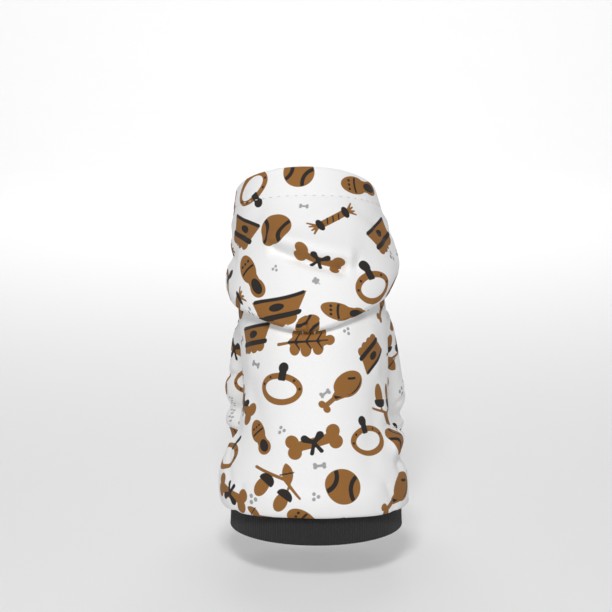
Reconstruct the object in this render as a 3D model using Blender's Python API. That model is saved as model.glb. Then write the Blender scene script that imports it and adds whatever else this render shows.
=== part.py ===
"""Dog hoodie in the form it keeps when worn: a body of printed sweatshirt cloth, a hood pushed
back into a pouch, two foreleg sleeves and a rib band round the bottom edge.

Metres, +Z up. The origin is the middle of the neck opening. The back of the garment faces +Y,
its chest faces -Y, and its own left side is at +X.
"""

import math
from collections import namedtuple

import bmesh
import bpy
import numpy as np

# Driving sizes of the garment
BODY_DROP = 0.300
BODY_DEPTH = 0.200
HIP_WIDTH = 0.212
HOOD_RISE = 0.088
HOOD_FALL = 0.060
HOOD_DEPTH = 0.218
HOOD_WIDTH = 0.198
HOOD_TIP_DROP = 0.014
HOOD_TIP_SPREAD = 34.0
HOOD_LEAN = 0.005
THROAT_DIP = 0.016
THROAT_SPREAD = 30.0
SLEEVE_LENGTH = 0.160
SLEEVE_WIDTH = 0.074
SLEEVE_SPACING = 0.142
BAND_HEIGHT = 0.030
LIP_DROOP = 0.009

# Cloth and seams
CLOTH_WALL = 0.0020
CASING_WALL = 0.0028
RIB_WALL = 0.0028
SEAM_GAP = 0.0004
POUCH_FOLD = 0.0055

# Where the cloth blouses over the band, and the share of a piece's length next to a seam that
# stays free of folds
LIP_ALONG = 0.95
LIP_SPREAD = 0.05
SEWN_SHARE = 0.04

# Number of flats round and along each piece
BODY_FLATS = 52
BODY_ROWS = 18
HOOD_OUTER_ROWS = 18
HOOD_INNER_ROWS = 5
SLEEVE_FLATS = 22
SLEEVE_ROWS = 12
BAND_ROWS = 2

# Sections of the body, from the neckline down to the band's seam. along runs from 0 to 1. The
# lengths are shares: of BODY_DEPTH for y, of BODY_DROP for z, of HIP_WIDTH for the half width
# and the sway, which moves the whole section sideways.
Section = namedtuple("Section", "name along back_y back_z front_y front_z half_width sway")
BODY = (
    Section("neckline", 0.00, 0.305, 0.100, -0.305, -0.100, 0.330, 0.000),
    Section("shoulder", 0.12, 0.415, -0.007, -0.340, -0.200, 0.377, -0.012),
    Section("chest", 0.25, 0.565, -0.173, -0.335, -0.317, 0.396, -0.032),
    Section("ribs", 0.42, 0.725, -0.360, -0.265, -0.450, 0.392, -0.046),
    Section("waist", 0.60, 0.855, -0.560, -0.125, -0.593, 0.384, -0.050),
    Section("loin", 0.69, 0.925, -0.650, -0.015, -0.673, 0.402, -0.048),
    Section("flare", 0.77, 1.005, -0.725, 0.065, -0.732, 0.452, -0.042),
    Section("hips", 0.87, 1.080, -0.820, 0.125, -0.805, 0.492, -0.040),
    Section("lip", 0.95, 1.083, -0.888, 0.145, -0.875, 0.488, -0.048),
    Section("band_seam", 1.00, 1.048, -0.896, 0.190, -0.894, 0.449, -0.056),
)

# Sections of the hood's outer layer, from the rim down to the fold line. Shares: of HOOD_DEPTH
# for y, of HOOD_RISE above the origin and HOOD_FALL below it for z, of HOOD_WIDTH for the width.
HOOD = (
    Section("rim", 0.00, 0.234, 1.000, -0.367, 0.114, 0.396, 0.000),
    Section("casing_stitch", 0.17, 0.303, 0.670, -0.381, 0.020, 0.419, -0.008),
    Section("nape", 0.34, 0.385, 0.385, -0.394, -0.150, 0.438, -0.022),
    Section("roll", 0.52, 0.452, 0.085, -0.403, -0.320, 0.467, -0.034),
    Section("flap", 0.72, 0.530, -0.500, -0.403, -0.520, 0.490, -0.040),
    Section("flap_end", 0.90, 0.600, -0.860, -0.399, -0.700, 0.480, -0.028),
    Section("fold", 1.00, 0.628, -1.020, -0.390, -0.830, 0.460, -0.026),
)

# Centre line of a sleeve and its half sizes. Shares: of SLEEVE_SPACING for x, of SLEEVE_LENGTH
# for y and for z below the shoulder, and of SLEEVE_WIDTH for the two half sizes.
Ring = namedtuple("Ring", "name along x y z half_x half_y")
SLEEVE_SHOULDER_Z = -0.090
SLEEVE = (
    Ring("root", 0.00, 0.310, 0.100, 0.080, 0.440, 0.480),
    Ring("shoulder", 0.16, 0.360, -0.070, -0.060, 0.500, 0.500),
    Ring("upper", 0.38, 0.435, -0.220, -0.280, 0.470, 0.490),
    Ring("elbow", 0.66, 0.485, -0.290, -0.590, 0.460, 0.470),
    Ring("lower", 0.86, 0.500, -0.305, -0.830, 0.440, 0.430),
    Ring("hem", 1.00, 0.490, -0.310, -0.990, 0.390, 0.390),
)
SLEEVE_SWAY = -0.011

# Soft folds. Each is a ridge, or a dent where its height is negative, along a line from one
# place to another: along is the share down the piece and around the angle from the back, in
# degrees, positive towards +X. width and height are lengths.
Fold = namedtuple("Fold", "name along_a around_a along_b around_b width height")
BODY_FOLDS = (
    Fold("left hip crease", 0.70, 80, 0.73, 120, 0.010, -0.003),
    Fold("right hip bulge", 0.73, -72, 0.75, -118, 0.011, 0.010),
    Fold("right hip crease", 0.80, -70, 0.82, -118, 0.009, -0.004),
    Fold("lower back sag", 0.84, 30, 0.86, -36, 0.020, 0.003),
)
HOOD_FOLDS = (
    Fold("roll", 0.47, 26, 0.55, -30, 0.016, 0.006),
    Fold("roll crease", 0.555, 26, 0.655, -28, 0.009, -0.006),
    Fold("left pinch", 0.60, 70, 0.62, 104, 0.008, -0.005),
)
LEFT_SLEEVE_FOLDS = (
    Fold("elbow bunch", 0.66, 0, 0.68, 359, 0.014, 0.003),
    Fold("elbow crease", 0.78, 0, 0.80, 359, 0.008, -0.004),
    Fold("lower bunch", 0.88, 0, 0.86, 359, 0.010, 0.003),
)
RIGHT_SLEEVE_FOLDS = (
    Fold("elbow bunch", 0.72, 0, 0.70, 359, 0.014, 0.004),
    Fold("elbow crease", 0.82, 0, 0.84, 359, 0.008, -0.004),
    Fold("lower bunch", 0.92, 0, 0.90, 359, 0.010, 0.003),
)

PRINT_WHITE = (0.86, 0.86, 0.85, 1.0)
RIB_BLACK = (0.022, 0.022, 0.024, 1.0)


def clear_scene():
    """Remove whatever the scene holds."""
    for item in list(bpy.data.objects):
        bpy.data.objects.remove(item, do_unlink=True)


def cloth_material(name, colour, roughness):
    """A plain woven or knitted finish."""
    material = bpy.data.materials.new(name)
    material.use_nodes = True
    shader = material.node_tree.nodes["Principled BSDF"]
    shader.inputs["Base Color"].default_value = colour
    shader.inputs["Roughness"].default_value = roughness
    shader.inputs["Metallic"].default_value = 0.0
    return material


def smooth_read(table, column, along):
    """Read a column of a table at any share along it, on a smooth curve through the rows."""
    places = np.array([row.along for row in table])
    values = np.array([getattr(row, column) for row in table])
    slopes = np.gradient(values, places)
    seat = np.clip(np.searchsorted(places, along, side="right") - 1, 0, len(places) - 2)
    span = places[seat + 1] - places[seat]
    part = (along - places[seat]) / span
    rest = 1.0 - part
    start = (1.0 + 2.0 * part) * values[seat] + part * span * slopes[seat]
    end = (3.0 - 2.0 * part) * values[seat + 1] - rest * span * slopes[seat + 1]
    return start * rest**2 + end * part**2


def bell(distance, width):
    """A soft hump, 1 in the middle and about a third at one width from it."""
    return np.exp(-((distance / width) ** 2))


def end_fade(along):
    """1 along most of a piece, falling to 0 where it is sewn at either end."""
    return np.clip(along / SEWN_SHARE, 0.0, 1.0) * np.clip((1.0 - along) / SEWN_SHARE, 0.0, 1.0)


def turns(flats):
    """The angles round a piece, from the back towards +X, in radians."""
    return np.linspace(0.0, 2.0 * math.pi, flats, endpoint=False)


def section_points(table, along, around, depth, rise, fall, width):
    """Points on sections that run from a back point to a front point. rise scales the heights
    above the origin and fall those below it."""
    ends = []
    for end in ("back", "front"):
        z = smooth_read(table, end + "_z", along)
        y = smooth_read(table, end + "_y", along) * depth
        ends.append(np.array([y, np.where(z > 0, rise, fall) * z]))
    middle = (ends[0] + ends[1]) / 2.0
    reach = (ends[0] - ends[1]) / 2.0
    x = smooth_read(table, "sway", along) * width
    x = x + smooth_read(table, "half_width", along) * width * np.sin(around)
    y = middle[0] + reach[0] * np.cos(around)
    z = middle[1] + reach[1] * np.cos(around)
    return np.stack([x, y, z], axis=-1)


def body_points(along, around):
    """Points of the body's outer face before its folds. The cloth blouses over the band, most at
    the two sides."""
    points = section_points(BODY, along, around, BODY_DEPTH, BODY_DROP, BODY_DROP, HIP_WIDTH)
    droop = LIP_DROOP * bell(along - LIP_ALONG, LIP_SPREAD) * end_fade(along)
    points[..., 2] -= droop * np.sin(around) ** 2
    return points


def hood_points(along, around):
    """Points of the hood's outer layer before its folds, with the point at the back and the dip
    at the throat."""
    points = section_points(HOOD, along, around, HOOD_DEPTH, HOOD_RISE, HOOD_FALL, HOOD_WIDTH)
    turn = np.degrees(np.arctan2(np.sin(around), np.cos(around)))
    tip = bell(turn, HOOD_TIP_SPREAD) * along**2
    throat = bell(180.0 - np.abs(turn), THROAT_SPREAD) * (1.0 - along)
    lean = along * np.sin(around)
    points[..., 2] -= HOOD_TIP_DROP * tip + THROAT_DIP * throat + HOOD_LEAN * lean
    points[..., 1] += 0.3 * HOOD_TIP_DROP * tip
    return points


def sleeve_points(along, around, side):
    """Points of a sleeve's outer face before its folds. side is 1 at +X and -1 at -X."""
    x = smooth_read(SLEEVE, "x", along) * SLEEVE_SPACING
    x = x + smooth_read(SLEEVE, "half_x", along) * SLEEVE_WIDTH * np.sin(around)
    y = smooth_read(SLEEVE, "y", along) * SLEEVE_LENGTH
    y = y + smooth_read(SLEEVE, "half_y", along) * SLEEVE_WIDTH * np.cos(around)
    z = SLEEVE_SHOULDER_Z + smooth_read(SLEEVE, "z", along) * SLEEVE_LENGTH
    z = z + np.zeros_like(around)
    return np.stack([side * x + SLEEVE_SWAY, y, z], axis=-1)


def face_normals(points):
    """Outward directions on a grid of points, rows running down and columns from the back
    towards +X."""
    down = np.gradient(points, axis=0)
    across = np.roll(points, -1, axis=1) - np.roll(points, 1, axis=1)
    normals = np.cross(across, down)
    return normals / np.linalg.norm(normals, axis=-1, keepdims=True)


def fold_heights(points, along, around, folds):
    """How far each point of a grid stands out because of the folds near it."""
    heights = np.zeros(points.shape[:2])
    turn = np.degrees(around)
    length = np.linalg.norm(np.diff(points, axis=0), axis=-1).sum(axis=0).mean()
    middle = points.mean(axis=1, keepdims=True)
    radius = np.linalg.norm(points - middle, axis=-1)
    for fold in folds:
        span_along = (fold.along_b - fold.along_a) * length
        span_around = np.radians(fold.around_b - fold.around_a) * radius
        off_along = (along - fold.along_a) * length
        off_turn = turn - (fold.around_a + fold.around_b) / 2.0
        off_turn = (off_turn + 180.0) % 360.0 - 180.0 + (fold.around_b - fold.around_a) / 2.0
        off_around = np.radians(off_turn) * radius
        share = off_along * span_along + off_around * span_around
        share = np.clip(share / (span_along**2 + span_around**2), 0.0, 1.0)
        distance = np.hypot(off_along - share * span_along, off_around - share * span_around)
        heights += fold.height * bell(distance, fold.width)
    return heights * end_fade(along)


def shell_mesh(name, outer, inner):
    """A closed cloth wall between two grids that run round a piece and are open at both ends."""
    rows, columns = outer.shape[:2]
    mesh = bpy.data.meshes.new(name)
    shell = bmesh.new()
    skins = []
    for grid in (outer, inner):
        skins.append([[shell.verts.new(point) for point in row] for row in grid])
    for column in range(columns):
        after = (column + 1) % columns
        for row in range(rows - 1):
            for skin in skins:
                above, below = skin[row], skin[row + 1]
                shell.faces.new((above[column], below[column], below[after], above[after]))
        for row in (0, rows - 1):
            outside, inside = skins[0][row], skins[1][row]
            shell.faces.new((outside[column], inside[column], inside[after], outside[after]))
    bmesh.ops.recalc_face_normals(shell, faces=shell.faces)
    shell.to_mesh(mesh)
    shell.free()
    mesh.shade_smooth()
    return mesh


def plug_mesh(name, grid):
    """A solid that fills a grid running round a piece, with a flat fan at each end."""
    rows, columns = grid.shape[:2]
    mesh = bpy.data.meshes.new(name)
    plug = bmesh.new()
    skin = [[plug.verts.new(point) for point in row] for row in grid]
    for column in range(columns):
        after = (column + 1) % columns
        for row in range(rows - 1):
            above, below = skin[row], skin[row + 1]
            plug.faces.new((above[column], below[column], below[after], above[after]))
    for row in (0, rows - 1):
        hub = plug.verts.new(grid[row].mean(axis=0))
        for column in range(columns):
            plug.faces.new((skin[row][column], skin[row][(column + 1) % columns], hub))
    bmesh.ops.recalc_face_normals(plug, faces=plug.faces)
    plug.to_mesh(mesh)
    plug.free()
    return mesh


def place(name, mesh, material=None):
    """Put a mesh in the scene as a named object."""
    item = bpy.data.objects.new(name, mesh)
    bpy.context.collection.objects.link(item)
    if material:
        mesh.materials.append(material)
    return item


def place_cutter(name, mesh):
    """Put a mesh in the scene as a guide that only cuts others."""
    item = place(name, mesh)
    item.hide_render = True
    item.display_type = "WIRE"
    return item


def cut(item, cutter):
    """Take a cutter's volume away from an object."""
    boolean = item.modifiers.new("Cut by " + cutter.name, "BOOLEAN")
    boolean.operation = "DIFFERENCE"
    boolean.solver = "EXACT"
    boolean.object = cutter


def body_grid(stand_off=0.0):
    """The body's outer face with its folds, moved outwards by stand_off."""
    along = np.linspace(0.0, 1.0, BODY_ROWS)[:, None] + np.zeros(BODY_FLATS)
    around = turns(BODY_FLATS) + np.zeros((BODY_ROWS, 1))
    points = body_points(along, around)
    normals = face_normals(points)
    heights = fold_heights(points, along, around, BODY_FOLDS)
    return points + normals * (heights + stand_off)[..., None]


def offset_grid(grid, distance):
    """A grid moved along its outward directions."""
    return grid + face_normals(grid) * distance


def sleeve_grid(side, folds):
    """A sleeve's outer face with its folds."""
    along = np.linspace(0.0, 1.0, SLEEVE_ROWS)[:, None] + np.zeros(SLEEVE_FLATS)
    around = turns(SLEEVE_FLATS) + np.zeros((SLEEVE_ROWS, 1))
    points = sleeve_points(along, around, side)
    if side < 0:
        points = np.roll(points[:, ::-1], 1, axis=1)
    normals = face_normals(points)
    return points + normals * fold_heights(points, along, around, folds)[..., None]


def hood_grid():
    """The middle of the hood's cloth: down the outer layer, round the fold line and up the
    inner layer to the neckline, which lies on the body."""
    around = turns(BODY_FLATS)
    along = np.linspace(0.0, 1.0, HOOD_OUTER_ROWS)[:, None] + np.zeros(BODY_FLATS)
    points = hood_points(along, around + np.zeros((HOOD_OUTER_ROWS, 1)))
    heights = fold_heights(points, along, around, HOOD_FOLDS)
    outer = points + face_normals(points) * heights[..., None]
    lie = SEAM_GAP + CLOTH_WALL / 2.0
    low = hood_reach(outer[-1], around)
    climb = np.linspace(1.0, 0.0, HOOD_INNER_ROWS)[:, None]
    inner = body_points(climb * low, around + np.zeros((HOOD_INNER_ROWS, 1)))
    inner = inner - face_normals(inner) * lie
    turn_row = (outer[-1] + inner[0]) / 2.0
    turn_row[:, 2] -= POUCH_FOLD
    return np.concatenate([outer, turn_row[None], inner])


def hood_reach(edge, around):
    """How far down the body the hood's inner layer starts, so that it is level with the fold
    line all the way round."""
    steps = np.linspace(0.0, 0.6, 121)
    along = steps[:, None] + np.zeros(len(around))
    levels = body_points(along, around + np.zeros((len(steps), 1)))[..., 2]
    return np.array([np.interp(-edge[k, 2], -levels[:, k], steps) for k in range(len(around))])


def make_body(material, arm_cutters):
    """The body: a cloth tube with two armholes."""
    outer = body_grid()
    body = place("body", shell_mesh("body", outer, offset_grid(outer, -CLOTH_WALL)), material)
    for cutter in arm_cutters:
        cut(body, cutter)
    return body


def make_sleeve(name, side, folds, material, keep_out):
    """A sleeve, trimmed to lie against the body's outer face."""
    outer = sleeve_grid(side, folds)
    sleeve = place(name, shell_mesh(name, outer, offset_grid(outer, -CLOTH_WALL)), material)
    cut(sleeve, keep_out)
    return sleeve


def make_hood(material):
    """The hood: one pouch of cloth, thicker at its turned rim."""
    middle = hood_grid()
    normals = face_normals(middle)
    casing = int(round(smooth_row("casing_stitch") * (HOOD_OUTER_ROWS - 1)))
    wall = np.full(middle.shape[0], CLOTH_WALL)
    wall[: casing + 1] = CASING_WALL
    half = wall[:, None, None] / 2.0
    mesh = shell_mesh("hood", middle + normals * half, middle - normals * half)
    return place("hood", mesh, material)


def smooth_row(name):
    """The share along the hood of a named section."""
    return next(row.along for row in HOOD if row.name == name)


def make_band(material):
    """The rib band below the body's last section."""
    around = turns(BODY_FLATS)
    top = body_points(np.ones(BODY_FLATS), around)
    top[:, 2] -= SEAM_GAP
    drop = np.linspace(0.0, BAND_HEIGHT, BAND_ROWS)[:, None]
    outer = np.repeat(top[None], BAND_ROWS, axis=0)
    outer[..., 2] -= drop
    inner = offset_grid(outer, -RIB_WALL)
    inner[..., 2] = outer[..., 2]
    return place("hem_band", shell_mesh("hem_band", outer, inner), material)


def build():
    """Make every piece of the hoodie."""
    clear_scene()
    keep_out = place_cutter("body_keep_out", plug_mesh("body_keep_out", body_grid(SEAM_GAP)))
    arms = (("sleeve_left", 1, LEFT_SLEEVE_FOLDS), ("sleeve_right", -1, RIGHT_SLEEVE_FOLDS))
    cutters = []
    for name, side, folds in arms:
        bore = offset_grid(sleeve_grid(side, folds), -CLOTH_WALL)
        cutters.append(place_cutter(name + "_bore", plug_mesh(name + "_bore", bore)))
    make_body(cloth_material("printed_body_cloth", PRINT_WHITE, 0.85), cutters)
    make_hood(cloth_material("printed_hood_cloth", PRINT_WHITE, 0.85))
    for name, side, folds in arms:
        make_sleeve(name, side, folds, cloth_material(name + "_cloth", PRINT_WHITE, 0.85), keep_out)
    make_band(cloth_material("black_rib", RIB_BLACK, 0.9))


build()
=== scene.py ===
"""The looks of the dog hoodie: dense printed cloth, stitched hems, a ribbed band, a pale studio
and the camera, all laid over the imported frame. Metres, +Z up, back of the garment at +Y."""

import math
from collections import namedtuple

import bpy
import numpy as np
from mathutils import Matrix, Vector, noise
from mathutils.kdtree import KDTree


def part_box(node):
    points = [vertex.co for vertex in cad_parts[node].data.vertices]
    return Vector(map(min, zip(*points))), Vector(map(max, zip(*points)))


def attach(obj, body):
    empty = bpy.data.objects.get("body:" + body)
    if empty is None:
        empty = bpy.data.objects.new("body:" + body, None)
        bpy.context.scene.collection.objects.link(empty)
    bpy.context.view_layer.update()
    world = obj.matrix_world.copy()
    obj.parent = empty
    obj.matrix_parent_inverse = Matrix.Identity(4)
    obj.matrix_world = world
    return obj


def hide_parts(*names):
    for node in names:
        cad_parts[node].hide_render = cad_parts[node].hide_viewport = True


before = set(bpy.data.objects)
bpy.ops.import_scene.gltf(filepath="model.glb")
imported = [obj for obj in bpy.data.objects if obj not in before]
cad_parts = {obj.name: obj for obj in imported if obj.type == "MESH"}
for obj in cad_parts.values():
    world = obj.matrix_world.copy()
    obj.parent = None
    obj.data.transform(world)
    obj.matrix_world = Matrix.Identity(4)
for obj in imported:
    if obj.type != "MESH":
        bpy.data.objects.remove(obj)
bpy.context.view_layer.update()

# Sizes of the garment, as the frame's solids have them
BODY_DROP = 0.300
BODY_DEPTH = 0.200
HIP_WIDTH = 0.212
HOOD_RISE = 0.088
HOOD_FALL = 0.060
HOOD_DEPTH = 0.218
HOOD_WIDTH = 0.198
HOOD_TIP_DROP = 0.014
HOOD_TIP_SPREAD = 34.0
HOOD_LEAN = 0.005
THROAT_DIP = 0.016
THROAT_SPREAD = 30.0
SLEEVE_LENGTH = 0.160
SLEEVE_WIDTH = 0.074
SLEEVE_SPACING = 0.142
SLEEVE_SHOULDER_Z = -0.090
SLEEVE_SWAY = -0.011
LIP_DROOP = 0.009
LIP_ALONG = 0.95
LIP_SPREAD = 0.05
SEWN_SHARE = 0.04
CLOTH_WALL = 0.0020
CASING_WALL = 0.0028
SEAM_GAP = 0.0004
POUCH_FOLD = 0.0055
BAND_LOW, BAND_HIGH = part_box("hem_band")
BAND_HEIGHT = BAND_HIGH[2] - BAND_LOW[2]

# Detail that only the looks need
BODY_COLUMNS = 400
BODY_LINES = 225
HOOD_COLUMNS = 400
HOOD_OUTER_LINES = 172
HOOD_INNER_LINES = 30
SLEEVE_COLUMNS = 200
SLEEVE_LINES = 150
BORE_COLUMNS = 96
BORE_LINES = 60
POUCH_LINES = 9
POUCH_REACH = 0.6
INNER_STEP = 4  # the inside has every fourth line and column
LEAN_REACH = 6  # lines and columns either way
RIM_LINES = 8  # end lines that the inside keeps too
EDGE_SHARES = [0.0008, 0.0022, 0.0042]
EDGE_LEAST = 0.03
FOCUS = 0.30
WAVER_SIZE = 0.05
WAVER_HEIGHT = 0.0009
RIB_COUNT = 200
RIB_SAMPLES = 8
RIB_HEIGHT = 0.00035
RIB_WALL = 0.0024
BAND_LINES = 14
BAND_PULL = 0.0006
BAND_EDGE = 0.06
BAND_EDGE_RIBS = 0.3
HEM_DEPTH = 0.020
RIM_STITCH = (0.0042, 0.0100)  # length and pitch
HEM_STITCH = (0.0030, 0.0052)
STITCH_RADIUS = 0.00055
STITCH_SINK = 0.35
ARMHOLE_PUCKERS = 22
Ridge = namedtuple("Ridge", "height past width")
ARMHOLE_GROOVE = Ridge(-0.0012, 0.0, 0.0025)
ARMHOLE_GATHER = Ridge(0.0016, 0.010, 0.006)
ARMHOLE_PUCKER = Ridge(0.0004, 0.005, 0.005)

Section = namedtuple("Section", "name along back_y back_z front_y front_z half_width sway")
BODY = (
    Section("neckline", 0.00, 0.305, 0.100, -0.305, -0.100, 0.330, 0.000),
    Section("shoulder", 0.12, 0.415, -0.007, -0.340, -0.200, 0.377, -0.012),
    Section("chest", 0.25, 0.565, -0.173, -0.335, -0.317, 0.396, -0.032),
    Section("ribs", 0.42, 0.725, -0.360, -0.265, -0.450, 0.392, -0.046),
    Section("waist", 0.60, 0.855, -0.560, -0.125, -0.593, 0.384, -0.050),
    Section("loin", 0.69, 0.925, -0.650, -0.015, -0.673, 0.402, -0.048),
    Section("flare", 0.77, 1.005, -0.725, 0.065, -0.732, 0.452, -0.042),
    Section("hips", 0.87, 1.080, -0.820, 0.125, -0.805, 0.492, -0.040),
    Section("lip", 0.95, 1.083, -0.888, 0.145, -0.875, 0.488, -0.048),
    Section("band_seam", 1.00, 1.048, -0.896, 0.190, -0.894, 0.449, -0.056),
)
HOOD = (
    Section("rim", 0.00, 0.234, 1.000, -0.367, 0.114, 0.396, 0.000),
    Section("casing_stitch", 0.17, 0.303, 0.670, -0.381, 0.020, 0.419, -0.008),
    Section("nape", 0.34, 0.385, 0.385, -0.394, -0.150, 0.438, -0.022),
    Section("roll", 0.52, 0.452, 0.085, -0.403, -0.320, 0.467, -0.034),
    Section("flap", 0.72, 0.530, -0.500, -0.403, -0.520, 0.490, -0.040),
    Section("flap_end", 0.90, 0.600, -0.860, -0.399, -0.700, 0.480, -0.028),
    Section("fold", 1.00, 0.628, -1.020, -0.390, -0.830, 0.460, -0.026),
)
Ring = namedtuple("Ring", "name along x y z half_x half_y")
SLEEVE = (
    Ring("root", 0.00, 0.310, 0.100, 0.080, 0.440, 0.480),
    Ring("shoulder", 0.16, 0.360, -0.070, -0.060, 0.500, 0.500),
    Ring("upper", 0.38, 0.435, -0.220, -0.280, 0.470, 0.490),
    Ring("elbow", 0.66, 0.485, -0.290, -0.590, 0.460, 0.470),
    Ring("lower", 0.86, 0.500, -0.305, -0.830, 0.440, 0.430),
    Ring("hem", 1.00, 0.490, -0.310, -0.990, 0.390, 0.390),
)

# Soft folds: a ridge, or a dent where height is negative, along a line on the piece. along is the
# share down the piece and around the angle from the back in degrees, positive towards +X.
Fold = namedtuple("Fold", "name along_a around_a along_b around_b width height")
BODY_FOLDS = (
    Fold("left hip crease", 0.70, 80, 0.73, 120, 0.010, -0.003),
    Fold("right hip bulge", 0.73, -72, 0.75, -118, 0.011, 0.010),
    Fold("right hip crease", 0.80, -70, 0.82, -118, 0.009, -0.004),
    Fold("lower back sag", 0.84, 30, 0.86, -36, 0.020, 0.003),
    Fold("left waist pull", 0.52, 62, 0.76, 34, 0.012, -0.0018),
    Fold("right waist pull", 0.50, -62, 0.78, -40, 0.012, -0.0018),
    Fold("left rib drape", 0.36, 52, 0.60, 70, 0.010, 0.0018),
    Fold("right rib drape", 0.36, -50, 0.62, -68, 0.010, 0.0018),
    Fold("left lip gather", 0.86, 48, 0.97, 58, 0.006, -0.0016),
    Fold("right lip gather", 0.86, -50, 0.97, -60, 0.006, -0.0016),
    Fold("belly sag", 0.70, 160, 0.72, 200, 0.018, 0.004),
    Fold("belly crease", 0.62, 150, 0.60, 205, 0.009, -0.003),
    Fold("chest pull left", 0.30, 118, 0.52, 150, 0.009, -0.002),
    Fold("chest pull right", 0.30, -118, 0.50, -150, 0.009, -0.002),
    Fold("left flank drape", 0.50, 128, 0.74, 84, 0.009, 0.0028),
    Fold("left flank valley", 0.55, 138, 0.80, 96, 0.006, -0.0022),
    Fold("right flank drape", 0.48, -130, 0.70, -92, 0.009, 0.0026),
    Fold("right flank valley", 0.56, -140, 0.78, -104, 0.006, -0.0022),
    Fold("belly roll", 0.80, 140, 0.79, 222, 0.010, 0.0030),
    Fold("belly valley", 0.75, 150, 0.74, 212, 0.005, -0.0026),
    Fold("left hem gather", 0.84, 118, 0.98, 108, 0.005, -0.0018),
    Fold("right hem gather", 0.84, -122, 0.98, -112, 0.005, -0.0018),
    Fold("front hem gather", 0.86, 172, 0.98, 178, 0.005, -0.0016),
    Fold("left haunch pull", 0.62, 104, 0.84, 62, 0.007, -0.0020),
    Fold("right haunch pull", 0.64, -104, 0.86, -66, 0.007, -0.0018),
)
HOOD_FOLDS = (
    Fold("roll", 0.44, 24, 0.545, -26, 0.014, 0.0050),
    Fold("roll lip", 0.468, 25, 0.575, -23, 0.007, 0.0055),
    Fold("roll crease", 0.525, 27, 0.628, -20, 0.0044, -0.0095),
    Fold("roll crease end", 0.628, -20, 0.636, -30, 0.0060, -0.0040),
    Fold("left pinch", 0.60, 70, 0.62, 104, 0.008, -0.005),
    Fold("left shoulder tuck", 0.42, 58, 0.60, 84, 0.008, -0.0025),
    Fold("right shoulder tuck", 0.40, -58, 0.62, -76, 0.008, -0.0025),
    Fold("flap dimple", 0.78, 30, 0.86, 8, 0.012, -0.0016),
    Fold("left collar drape", 0.30, 96, 0.66, 132, 0.010, 0.0030),
    Fold("left collar valley", 0.38, 84, 0.74, 116, 0.006, -0.0026),
    Fold("right collar drape", 0.30, -94, 0.64, -134, 0.010, 0.0030),
    Fold("right collar valley", 0.40, -84, 0.72, -118, 0.006, -0.0026),
    Fold("throat crease", 0.52, 160, 0.56, 204, 0.007, -0.0024),
    Fold("throat roll", 0.76, 150, 0.74, 214, 0.009, 0.0024),
    Fold("rim ripple left", 0.02, 120, 0.16, 112, 0.006, -0.0012),
    Fold("rim ripple right", 0.02, -126, 0.16, -118, 0.006, -0.0012),
    Fold("right nape tuck", 0.24, -40, 0.38, -58, 0.009, -0.0014),
    Fold("left nape tuck", 0.24, 38, 0.40, 54, 0.009, -0.0016),
    Fold("casing groove", 0.17, -180, 0.17, 180, 0.0016, -0.0006),
)
TIP_TUCK = (Fold("tip tuck", 0.955, 2, 1.0, 2, 0.0016, -0.0028),)
SLEEVE_FOLDS = {
    1: (
        Fold("elbow bunch", 0.66, 0, 0.68, 359, 0.014, 0.003),
        Fold("elbow crease", 0.78, 0, 0.80, 359, 0.008, -0.004),
        Fold("lower bunch", 0.88, 0, 0.86, 359, 0.010, 0.003),
        Fold("outer elbow valley", 0.56, 40, 0.62, 150, 0.005, -0.0026),
        Fold("inner elbow valley", 0.60, 200, 0.70, 300, 0.005, -0.0026),
        Fold("front sleeve drape", 0.24, 150, 0.52, 196, 0.007, 0.0022),
        Fold("front sleeve valley", 0.30, 176, 0.56, 220, 0.005, -0.0022),
        Fold("outer sleeve drape", 0.26, 100, 0.50, 60, 0.007, 0.0018),
        Fold("hem pucker", 0.80, 150, 0.93, 166, 0.004, -0.0016),
    ),
    -1: (
        Fold("elbow bunch", 0.72, 0, 0.70, 359, 0.014, 0.004),
        Fold("elbow crease", 0.82, 0, 0.84, 359, 0.008, -0.004),
        Fold("lower bunch", 0.92, 0, 0.90, 359, 0.010, 0.003),
        Fold("outer elbow valley", 0.60, 50, 0.66, 160, 0.005, -0.0026),
        Fold("inner elbow valley", 0.62, 210, 0.74, 310, 0.005, -0.0026),
        Fold("front sleeve drape", 0.28, 158, 0.56, 200, 0.007, 0.0022),
        Fold("front sleeve valley", 0.34, 184, 0.60, 226, 0.005, -0.0022),
        Fold("outer sleeve drape", 0.24, 96, 0.46, 58, 0.007, 0.0020),
        Fold("hem pucker", 0.82, 190, 0.95, 204, 0.004, -0.0016),
    ),
}

# The print: big motifs in two inks and small grey ones, in staggered rows
MOTIF_HALF = 0.033
MOTIF_GAP_ACROSS = 0.070
MOTIF_GAP_DOWN = 0.055
MOTIF_TRIES = 6
MOTIF_CLEAR = 0.0025
MOTIF_TILT = 0.7
MOTIF_SIZES = (0.88, 1.12)
SMALLER_A_TRY = 0.05
MOTIF_SHIFT = 0.12
ROW_SHIFT = 0.16
TURNED_SHARE = 0.2
KIND_NEXT_SHARE = 0.8
KIND_ROW_STEP = 2
KIND_SKIP = 4
SMALL_HALF = 0.0060
SMALL_SIZES = (0.75, 1.2)
SMALL_SHARE = 0.62
SMALL_SHIFT = 0.3
SMALL_ROW_SHIFT = 0.01
STAMP_REACH = 1.6
INK_REACH = 0.004
PRINT_SEED = 11
BODY_FIRST_ROW = 0.030
HOOD_FIRST_ROW = 0.012
SLEEVE_FIRST_ROW = 0.020

# Knit in metres, the inks' soft edges in millimetres
JERSEY_PITCH = 0.0013
RIB_PITCH = 0.0009
KNIT_DEPTH = 0.0004
ONE_LOOP = 0.32  # wave scale for about one wave a unit
INK_SOFT = 0.35
GREY_SOFT = 0.45

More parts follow.
